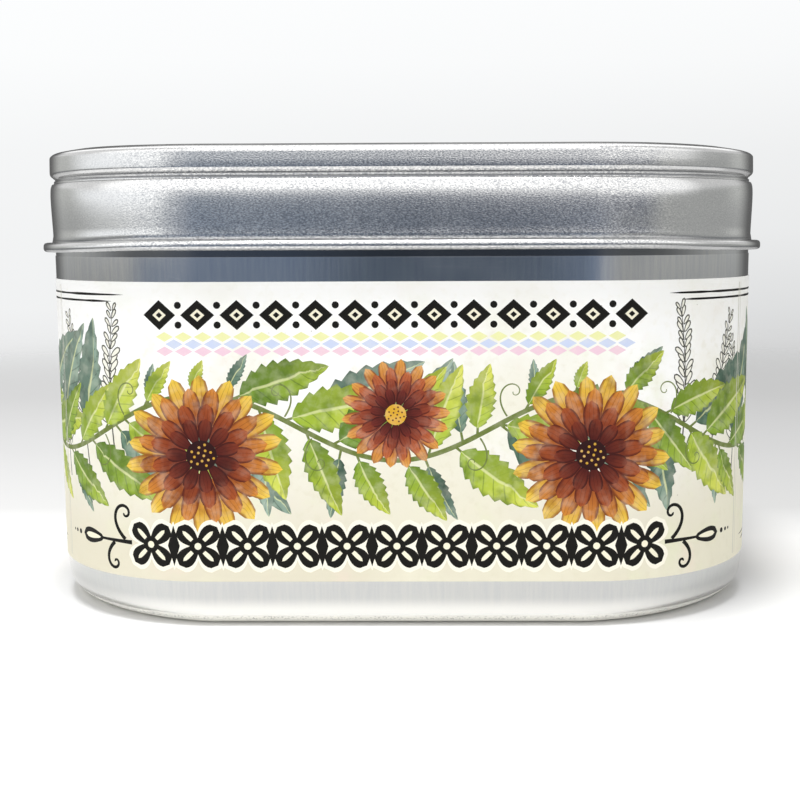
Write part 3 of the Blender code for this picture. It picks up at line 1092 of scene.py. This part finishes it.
flat, triangles, tops, folds = cut_sheet()
print("the sheet has", len(triangles), "triangles,", int((tops >= 0).sum()), "of them inked")

# %% [markdown]
# ## Wrap the sheet
# The printed front is wrapped round the can at the paper's outer face. The paper's inner face needs no
# drawing, so it is triangulated anew from the sheet's rim and its fold lines alone, and a narrow wall
# joins the two all along the rim. The strip is then a closed body with the paper's own thickness.


# %% Make the label's mesh
def turned_faces(points, faces, clockwise):
    """The same triangles, all turned one way."""
    a, b, c = (points[faces[:, k]] for k in range(3))
    area = (b[:, 0] - a[:, 0]) * (c[:, 1] - a[:, 1]) - (b[:, 1] - a[:, 1]) * (c[:, 0] - a[:, 0])
    wrong = area > 0 if clockwise else area < 0
    faces = faces.copy()
    faces[wrong] = faces[wrong][:, ::-1]
    return faces


def label_mesh():
    """The closed strip, and its printed front as flat points and triangles."""
    used, renumbered = np.unique(triangles, return_inverse=True)
    points = flat[used]
    front = turned_faces(points, renumbered.reshape(-1, 3), clockwise=False)

    sides = np.concatenate([front[:, [0, 1]], front[:, [1, 2]], front[:, [2, 0]]]).tolist()
    known = set(map(tuple, sides))
    rim = [(p, q) for p, q in sides if (q, p) not in known]
    on_rim = sorted({p for edge in rim for p in edge})
    place = {p: i for i, p in enumerate(on_rim)}
    rim_points = points[on_rim]
    cuts = []
    for s in folds[1:-1]:
        column = np.flatnonzero(np.abs(rim_points[:, 0] - s) < 1e-3)
        cuts.append((int(column[0]), int(column[-1])))
    rim_edges = [(place[p], place[q]) for p, q in rim]
    inner = delaunay_2d_cdt([tuple(p) for p in rim_points], rim_edges + cuts, [], 0, 1e-6, True)
    inner_faces = np.array([[inner[3][corner][0] for corner in face] for face in inner[2]])
    inner_faces = turned_faces(rim_points, inner_faces, clockwise=True)

    shift = len(points)
    walls = [(p, shift + place[p], shift + place[q], q) for p, q in rim]
    front_x, front_y = wrap(points[:, 0], lift(points[:, 0]) + PAPER_THICKNESS)
    inner_x, inner_y = wrap(rim_points[:, 0], lift(rim_points[:, 0]))
    places = np.concatenate([np.stack([front_x, front_y, points[:, 1]], 1),
                             np.stack([inner_x, inner_y, rim_points[:, 1]], 1)]) * MM
    mesh = bpy.data.meshes.new("label_strip")
    mesh.from_pydata(places.tolist(), [], front.tolist() + (inner_faces + shift).tolist() + walls)
    return mesh, points, front


sheet, points, front = label_mesh()
print("the label has", len(sheet.polygons), "faces")

# %% [markdown]
# ## Ink every corner
# A face corner can carry its own values, so two neighbours meet with a sharp edge between their inks.
# Three layers are stored: the ink with its cover, the ink of the veins, and the motif's own map.


# %% Paint the corners
def paint(mesh, points, front):
    """Stores the three layers on every corner of the printed front."""
    corners = len(mesh.loops)
    ink, vein_ink, motif = np.zeros((corners, 4)), np.zeros((corners, 4)), np.zeros((corners, 3))
    for number in np.unique(tops[tops >= 0]):
        shape = drawing[number]
        rows = np.flatnonzero(tops == number)
        where = (rows[:, None] * 3 + np.arange(3)).ravel()
        along = side = np.zeros(len(where))
        if shape["across"] is not None:
            along, side = shape["across"](points[front[rows].ravel()])
        share = np.clip(along, 0.0, 1.0)[:, None] ** 1.4
        ink[where] = shape["ink"] * (1.0 - share) + shape["tip"] * share
        vein_ink[where] = shape["second"]
        motif[where] = np.stack([along, side, np.full(len(where), shape["veins"])], 1)
    for name, kind, field, values in (
        ("ink", "FLOAT_COLOR", "color", ink), ("vein_ink", "FLOAT_COLOR", "color", vein_ink),
        ("motif", "FLOAT_VECTOR", "vector", motif),
    ):
        layer = mesh.attributes.new(name, kind, "CORNER")
        layer.data.foreach_set(field, values.astype(np.float32).ravel())


paint(sheet, points, front)
sheet.shade_smooth()
sheet.set_sharp_from_angle(angle=math.radians(40.0))
label = bpy.data.objects.new("label_sheet", sheet)
bpy.context.scene.collection.objects.link(label)
print("layers:", [layer.name for layer in sheet.attributes if layer.domain == "CORNER"])

# %% [markdown]
# ## The finish of the label
# The paper is a matt, nearly white stock. Like an old print it is mottled in cream, with faint green and pink
# clouds one to three centimetres across. Towards its foot it is painted darker and creamier, a painted shade,
# and the clouds are fainter near the top. A finer grain and tiny brown specks give it age.


# %% The stock
def paper_stock(tree, place):
    up = add(tree, "ShaderNodeSeparateXYZ", {0: place}).outputs["Z"]
    # Painted shade: the stock darkens towards the foot of the label.
    low = add(tree, "ShaderNodeMapRange", interpolation_type="SMOOTHSTEP",
              inputs={"Value": up, "From Min": 0.054, "From Max": 0.012})
    stock = add(tree, "ShaderNodeMix", data_type="RGBA",
                inputs={0: low, 6: linear("#fffffd"), 7: linear("#dfd9c4")})
    clouded = add(tree, "ShaderNodeMapRange", interpolation_type="SMOOTHSTEP",
                  inputs={"Value": up, "From Min": 0.068, "From Max": 0.040, "To Min": 0.3, "To Max": 1.0})
    for size, start, full, cover, code in (
        (24.0, 0.40, 0.64, 0.75, "#e9e5d0"), (11.0, 0.54, 0.74, 0.5, "#e3e6c4"),
        (13.0, 0.56, 0.76, 0.5, "#ecd9cb"), (1.6, 0.50, 0.74, 0.35, "#ddd8c0"),
    ):
        cloud = add(tree, "ShaderNodeTexNoise", {"Vector": place, "Scale": 1.0 / (size * MM), "Detail": 5.0})
        share = add(tree, "ShaderNodeMapRange", interpolation_type="SMOOTHSTEP",
                    inputs={"Value": cloud, "From Min": start, "From Max": full, "To Max": cover})
        share = add(tree, "ShaderNodeMath", {0: share, 1: clouded}, operation="MULTIPLY")
        stock = add(tree, "ShaderNodeMix", {0: share, 6: stock, 7: linear(code)}, data_type="RGBA")
    # Brown specks up to 0.3 mm across, one in every second cell of a 4 mm pattern.
    cells = add(tree, "ShaderNodeTexVoronoi", {"Vector": place, "Scale": 1.0 / (4.0 * MM)})
    draw = add(tree, "ShaderNodeSeparateColor", {0: cells.outputs["Color"]})
    radius = add(tree, "ShaderNodeMapRange",
                 {"Value": draw, "From Min": 0.5, "From Max": 1.0, "To Min": 0.0, "To Max": 0.045})
    speck = add(tree, "ShaderNodeMath", {0: cells.outputs["Distance"], 1: radius}, operation="LESS_THAN")
    speck = add(tree, "ShaderNodeMath", {0: speck, 1: 0.55}, operation="MULTIPLY")
    stock = add(tree, "ShaderNodeMix", {0: speck, 6: stock, 7: linear("#8a7d60")}, data_type="RGBA")
    return stock


# %% [markdown]
# The coloured inks are thin, so they are laid like a wash and vary in blotches, while black covers fully.
# Each motif has its own map: how far along the shape a point lies, how far to its side, and how many veins
# it has. One half of each leaf is darker than the other, as a draughtsman shades it.


# %% The inks
def inked_motifs(tree, place, uneven):
    """How far ink covers the stock, and the colour of that ink with its veins, edges and blotches."""
    ink = add(tree, "ShaderNodeAttribute", attribute_name="ink")
    vein_ink = add(tree, "ShaderNodeAttribute", attribute_name="vein_ink")
    motif = add(tree, "ShaderNodeAttribute", attribute_name="motif")
    along, side, veins = add(tree, "ShaderNodeSeparateXYZ", {0: motif.outputs["Vector"]}).outputs
    off_side = add(tree, "ShaderNodeMath", {0: side}, operation="ABSOLUTE")
    vein_count = add(tree, "ShaderNodeMath", {0: veins}, operation="ABSOLUTE")
    is_leaf = add(tree, "ShaderNodeMath", {0: veins, 1: 0.5}, operation="GREATER_THAN")
    has_veins = add(tree, "ShaderNodeMath", {0: vein_count, 1: 0.5}, operation="GREATER_THAN")

    # A leaf's veins slant forward from its middle line, and a petal's run along it.
    slant = add(tree, "ShaderNodeMath", {0: off_side, 1: -0.16, 2: along}, operation="MULTIPLY_ADD")
    leaf_phase = add(tree, "ShaderNodeMath", {0: slant, 1: veins}, operation="MULTIPLY")
    petal_phase = add(tree, "ShaderNodeMath", {0: side, 1: vein_count}, operation="MULTIPLY")
    phase = add(tree, "ShaderNodeMix", {0: is_leaf, 2: petal_phase, 3: leaf_phase}, data_type="FLOAT")
    phase = add(tree, "ShaderNodeMath", {0: phase}, operation="FRACT")
    phase = add(tree, "ShaderNodeMath", {0: phase, 1: 0.5}, operation="SUBTRACT")
    phase = add(tree, "ShaderNodeMath", {0: phase}, operation="ABSOLUTE")
    vein = add(tree, "ShaderNodeMapRange", interpolation_type="SMOOTHSTEP",
               inputs={"Value": phase, "From Min": 0.10, "From Max": 0.0, "To Max": 0.55})
    edge = add(tree, "ShaderNodeMapRange", interpolation_type="SMOOTHSTEP",
               inputs={"Value": off_side, "From Min": 0.62, "From Max": 0.92, "To Max": 0.75})
    shadow = add(tree, "ShaderNodeMapRange", interpolation_type="SMOOTHSTEP",
                 inputs={"Value": side, "From Min": -0.06, "From Max": 0.06, "To Max": 0.42})
    shadow = add(tree, "ShaderNodeMath", {0: shadow, 1: is_leaf}, operation="MULTIPLY")
    lines = add(tree, "ShaderNodeMath", {0: vein, 1: edge}, operation="MAXIMUM")
    lines = add(tree, "ShaderNodeMath", {0: lines, 1: shadow}, operation="MAXIMUM")
    lines = add(tree, "ShaderNodeMath", {0: lines, 1: has_veins}, operation="MULTIPLY")
    drawn = add(tree, "ShaderNodeMix", data_type="RGBA",
                inputs={0: lines, 6: ink.outputs["Color"], 7: vein_ink.outputs["Color"]})
    midrib = add(tree, "ShaderNodeMapRange", interpolation_type="SMOOTHSTEP",
                 inputs={"Value": off_side, "From Min": 0.09, "From Max": 0.03, "To Max": 0.65})
    midrib = add(tree, "ShaderNodeMath", {0: midrib, 1: is_leaf}, operation="MULTIPLY")
    drawn = add(tree, "ShaderNodeMix", {0: midrib, 6: drawn, 7: linear("#e4e7ac")}, data_type="RGBA")

    # Blotches about 4 mm across, where a leaf or petal is laid in darker.
    blotch = add(tree, "ShaderNodeTexNoise", {"Vector": place, "Scale": 1.0 / (4.0 * MM), "Detail": 4.0})
    blotch = add(tree, "ShaderNodeMapRange", interpolation_type="SMOOTHSTEP",
                 inputs={"Value": blotch, "From Min": 0.48, "From Max": 0.72, "To Max": 0.55})
    blotch = add(tree, "ShaderNodeMath", {0: blotch, 1: has_veins}, operation="MULTIPLY")
    drawn = add(tree, "ShaderNodeMix", {0: blotch, 6: drawn, 7: vein_ink.outputs["Color"]}, data_type="RGBA")

    # The wash: thin ink lets the stock through, but black ink covers.
    wash = add(tree, "ShaderNodeMapRange", interpolation_type="SMOOTHSTEP",
               inputs={"Value": uneven, "From Min": 0.40, "From Max": 0.74, "To Max": 0.16})
    strength = add(tree, "ShaderNodeRGBToBW", {0: ink.outputs["Color"]})
    thin = add(tree, "ShaderNodeMapRange", {"Value": strength, "From Min": 0.03, "From Max": 0.20})
    wash = add(tree, "ShaderNodeMath", {0: wash, 1: thin}, operation="MULTIPLY")
    drawn = add(tree, "ShaderNodeMix", {0: wash, 6: drawn, 7: linear("#fbf6e2")}, data_type="RGBA")
    return ink.outputs["Alpha"], drawn


# %% [markdown]
# The paper's own fibres are too fine to see, so they are drawn about half a millimetre long. The same
# slow noise that makes the wash uneven also makes the paper a little more and less matt.


# %% Printed paper
def printed_paper():
    material = bpy.data.materials.new("matt_printed_paper")
    material.use_nodes = True
    tree = material.node_tree
    place = add(tree, "ShaderNodeTexCoord").outputs["Object"]
    uneven = add(tree, "ShaderNodeTexNoise", {"Vector": place, "Scale": 1.0 / (2.2 * MM), "Detail": 5.0})
    stock = paper_stock(tree, place)
    cover, drawn = inked_motifs(tree, place, uneven)
    printed = add(tree, "ShaderNodeMix", {0: cover, 6: stock, 7: drawn}, data_type="RGBA")

    fibres = add(tree, "ShaderNodeTexNoise", {"Vector": place, "Scale": 1.0 / (0.5 * MM), "Detail": 3.0})
    sheen = add(tree, "ShaderNodeMapRange",
                {"Value": uneven, "From Min": 0.3, "From Max": 0.7, "To Min": 0.52, "To Max": 0.62})
    bump = add(tree, "ShaderNodeBump", {"Height": fibres, "Distance": 0.008 * MM})

    shader = tree.nodes["Principled BSDF"]
    shader.inputs["Specular IOR Level"].default_value = 0.12
    tree.links.new(printed.outputs[2], shader.inputs["Base Color"])
    tree.links.new(sheen.outputs[0], shader.inputs["Roughness"])
    tree.links.new(bump.outputs["Normal"], shader.inputs["Normal"])
    return material


label.data.materials.append(printed_paper())
print("the label's finish:", label.data.materials[0].name)

# %% [markdown]
# ## The room
# Polished metal shows the room, so the room matters as much as the metal. The scene's sky stands for
# it: a white ceiling, a dark blue-grey front where the camera stands, a bright window low on the left,
# plain walls at the other sides, and a dim far wall behind. Real objects all round would do the
# same with more work. Each part of the room is a heading with a soft edge, and the parts are laid over
# each other in turn. Only reflections see the room at full strength. Diffuse light takes a smaller
# share of it, because the lamp gives the rest, and the camera itself sees a plain pale backdrop.

# %% Directions in the room
scene = bpy.context.scene
scene.view_settings.view_transform = "Standard"
world = bpy.data.worlds.new("studio")
scene.world = world
world.use_nodes = True
sky = world.node_tree
sky.nodes.clear()
direction = add(sky, "ShaderNodeTexCoord").outputs["Generated"]
height = add(sky, "ShaderNodeSeparateXYZ", {0: direction}).outputs["Z"]
level = add(sky, "ShaderNodeVectorMath", {0: direction, 1: (1.0, 1.0, 0.0)}, operation="MULTIPLY")
level = add(sky, "ShaderNodeVectorMath", {0: level}, operation="NORMALIZE")
print("the room is painted on", world.name)

# %% [markdown]
# A part of the room is given by its heading from the front, in degrees to the right, by how far it is
# solid and where it ends, by the heights between which it comes in, and by its light. In order: the
# walls, the greyer one on the right and the window on the left. Then the front: the shade round the
# camera's stand, the stand's dark blue cloth, wider low down on the left, its black core and its paler
# upper half, and the right wall's dark near end. Then the ceiling, its dimmer ends on the left and the
# right, a lamp's light on it above on the right, and the dim wall behind, which reaches up into it. Walls
# and ceiling go all the way round, so for them the heading doesn't count.

# %% Parts of the room
LOW_WALL = (0.27, 0.28, 0.29, 1.0)
ALL_HEIGHTS = (-1.3, -1.2)
ALL_ROUND = (-2.0, -1.5)
PARTS = (
    (0.0, 180.0, 360.0, (-0.10, 0.05), (0.68, 0.69, 0.67, 1.0)),
    (65.0, 35.0, 55.0, (-0.10, 0.05), (0.50, 0.51, 0.50, 1.0)),
    (-62.0, 14.0, 52.0, (-0.025, 0.065), (1.36, 1.39, 1.42, 1.0)),
    (-6.0, 2.0, 34.0, ALL_HEIGHTS, (0.47, 0.51, 0.58, 1.0)),
    (-2.0, 4.0, 18.0, ALL_HEIGHTS, (0.18, 0.24, 0.35, 1.0)),
    (-24.0, 14.0, 40.0, (-0.005, -0.03), (0.21, 0.26, 0.35, 1.0)),
    (-0.5, 1.5, 7.5, ALL_HEIGHTS, (0.10, 0.13, 0.175, 1.0)),
    (1.0, 10.0, 20.0, (-0.01, 0.03), (0.30, 0.35, 0.42, 1.0)),
    (20.0, 13.0, 34.0, (-0.02, 0.02), (0.21, 0.23, 0.28, 1.0)),
    (0.0, 180.0, 360.0, (0.105, 0.29), (1.7, 1.7, 1.7, 1.0)),
    (-110.0, 15.0, 40.0, (0.08, 0.20), (1.0, 1.0, 1.0, 1.0)),
    (95.0, 25.0, 60.0, (0.08, 0.20), (0.85, 0.85, 0.85, 1.0)),
    (40.0, 22.0, 46.0, (0.09, 0.16), (1.5, 1.5, 1.5, 1.0)),
    (180.0, 30.0, 60.0, (0.50, 0.27), (0.14, 0.14, 0.14, 1.0)),
)

room = LOW_WALL
for heading, solid, end, (foot, full), light in PARTS:
    turn = math.radians(heading)
    edge = ALL_ROUND if end > 180.0 else (math.cos(math.radians(end)), math.cos(math.radians(solid)))
    towards = add(sky, "ShaderNodeVectorMath", operation="DOT_PRODUCT",
                  inputs={0: level, 1: (math.sin(turn), -math.cos(turn), 0.0)})
    across = add(sky, "ShaderNodeMapRange", interpolation_type="SMOOTHSTEP",
                 inputs={"Value": towards, "From Min": edge[0], "From Max": edge[1]})
    upward = add(sky, "ShaderNodeMapRange", interpolation_type="SMOOTHSTEP",
                 inputs={"Value": height, "From Min": foot, "From Max": full})
    share = add(sky, "ShaderNodeMath", {0: across, 1: upward}, operation="MULTIPLY")
    room = add(sky, "ShaderNodeMix", {0: share, 6: room, 7: light}, data_type="RGBA")
print("parts of the room:", len(PARTS))

# %% [markdown]
# ## The backdrop
# The camera sees a painted sheet of pale paper that curves up behind the tin. It is white at the top, and
# painted shade makes it a little grey where it bends and greyer on the right than on the left, away from the
# window.

# %% Backdrop and strength
LEFT_EDGE = -0.32
RIGHT_EDGE = 0.26
BACKDROP = (0.76, 0.64)
# Painted shade: the backdrop's greys from the foot of the bend up to its white top.
BEND_SHADES = ((-0.13, -0.09, (0.83, 0.66)), (-0.09, -0.055, (0.89, 0.74)), (-0.055, 0.0, (0.90, 0.83)),
         (0.0, 0.06, (0.92, 0.87)), (0.06, 0.13, (0.98, 0.95)), (0.13, 0.22, (1.0, 1.0)))
PAPER_TINT = (0.99, 1.0, 1.005, 1.0)
DIFFUSE_SHARE = 0.50

sides = []
for side in (0, 1):
    grey = (BACKDROP[side],) * 3 + (1.0,)
    for low, high, lights in BEND_SHADES:
        share = add(sky, "ShaderNodeMapRange", {"Value": height, "From Min": low, "From Max": high})
        light = (lights[side],) * 3 + (1.0,)
        grey = add(sky, "ShaderNodeMix", {0: share, 6: grey, 7: light}, data_type="RGBA")
    sides.append(grey)
across = add(sky, "ShaderNodeSeparateXYZ", {0: direction}).outputs["X"]
to_right = add(sky, "ShaderNodeMapRange", {"Value": across, "From Min": LEFT_EDGE, "From Max": RIGHT_EDGE})
backdrop = add(sky, "ShaderNodeMix", {0: to_right, 6: sides[0], 7: sides[1]}, data_type="RGBA")
backdrop = add(sky, "ShaderNodeMix", {0: 1.0, 6: backdrop, 7: PAPER_TINT},
               data_type="RGBA", blend_type="MULTIPLY")
path = add(sky, "ShaderNodeLightPath").outputs
seen = add(sky, "ShaderNodeMix", data_type="RGBA",
           inputs={0: path["Is Camera Ray"], 6: room, 7: backdrop})
dimmed = add(sky, "ShaderNodeMapRange",
             {"Value": path["Is Diffuse Ray"], "To Min": 1.0, "To Max": DIFFUSE_SHARE})
background = add(sky, "ShaderNodeBackground", {"Color": seen, "Strength": dimmed})
add(sky, "ShaderNodeOutputWorld", {"Surface": background})
print("bends in the backdrop:", len(BEND_SHADES))

# %% [markdown]
# ## The table and the lamp
# The table is a wide round sheet of white card. Its tone is painted greyer towards the back and the right, a
# painted shade of light falling off, and it fades out before the horizon, so that its edge never shows. One
# softbox hangs above, a little to the front and left.

# %% Table
TABLE_RADIUS = 1.2
TABLE_POINTS = 96
table_mesh = bpy.data.meshes.new("table")
turns = [math.tau * i / TABLE_POINTS for i in range(TABLE_POINTS)]
table_mesh.from_pydata([(TABLE_RADIUS * math.cos(a), TABLE_RADIUS * math.sin(a), 0.0) for a in turns],
                       [], [list(range(TABLE_POINTS))])
table = bpy.data.objects.new("table", table_mesh)
scene.collection.objects.link(table)
card = bpy.data.materials.new("white_card")
card.use_nodes = True
tree = card.node_tree
place = add(tree, "ShaderNodeTexCoord").outputs["Object"]
shader = tree.nodes["Principled BSDF"]
shader.inputs["Roughness"].default_value = 0.7
print("the table is", 2 * TABLE_RADIUS, "m across")

# %% [markdown]
# The card's tone is painted shade: it falls off backward in steps, and by a sixth from left to right.

# %% The card's tone
NEAR_TONE = 0.84
SHADED_TONES = ((0.0, 0.02, 0.80), (0.02, 0.055, 0.585), (0.055, 0.15, 0.525), (0.15, 0.30, 0.47))
rightward, backward, _ = add(tree, "ShaderNodeSeparateXYZ", {0: place}).outputs
tone = (NEAR_TONE,) * 3 + (1.0,)
for near, far, grey in SHADED_TONES:
    share = add(tree, "ShaderNodeMapRange", {"Value": backward, "From Min": near, "From Max": far})
    tone = add(tree, "ShaderNodeMix", {0: share, 6: tone, 7: (grey,) * 3 + (1.0,)}, data_type="RGBA")
# Painted shade: the card gets darker towards the right.
share = add(tree, "ShaderNodeMapRange",
            {"Value": rightward, "From Min": -0.085, "From Max": 0.10, "To Max": 0.17})
tone = add(tree, "ShaderNodeMix", {0: share, 6: tone, 7: (0.0, 0.0, 0.0, 1.0)}, data_type="RGBA")
away = add(tree, "ShaderNodeVectorMath", {0: place}, operation="LENGTH")
fade = add(tree, "ShaderNodeMapRange", interpolation_type="SMOOTHSTEP",
           inputs={"Value": away.outputs["Value"], "From Min": 0.30, "From Max": 0.80,
                   "To Min": 1.0, "To Max": 0.0})
tree.links.new(tone.outputs[2], shader.inputs["Base Color"])
tree.links.new(fade.outputs[0], shader.inputs["Alpha"])
table_mesh.materials.append(card)
print("the card's tones:", NEAR_TONE, [grey for _, _, grey in SHADED_TONES])

# %% [markdown]
# The lamp is turned so that it looks straight at the tin.

# %% Lamp
LAMP_PLACE = Vector((-0.03, -0.145, 0.92))
LAMP_AIM = Vector((0.0, 0.0, 0.04))
LAMP_SIZE = 0.28
LAMP_WATTS = 8.5
lamp_data = bpy.data.lights.new("softbox", "AREA")
lamp_data.shape = "DISK"
lamp_data.size = LAMP_SIZE
lamp_data.energy = LAMP_WATTS
lamp = bpy.data.objects.new("softbox", lamp_data)
scene.collection.objects.link(lamp)
lamp.matrix_world = (Matrix.Translation(LAMP_PLACE)
                     @ (LAMP_AIM - LAMP_PLACE).to_track_quat("-Z", "Y").to_matrix().to_4x4())
print("lamp at", [round(c, 2) for c in LAMP_PLACE])

# %% [markdown]
# ## Hand each piece over
# Each new piece takes the place of its CAD node, which is hidden, and rides on the tin's one body.

# %% Hand over
for piece, node, slot in (
    (can, "can", "can_tinplate"), (lid, "lid", "lid_tinplate"), (label, "label", "label_paper")
):
    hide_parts(node)
    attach(piece, "root")
    print(piece.name, "replaces", node)
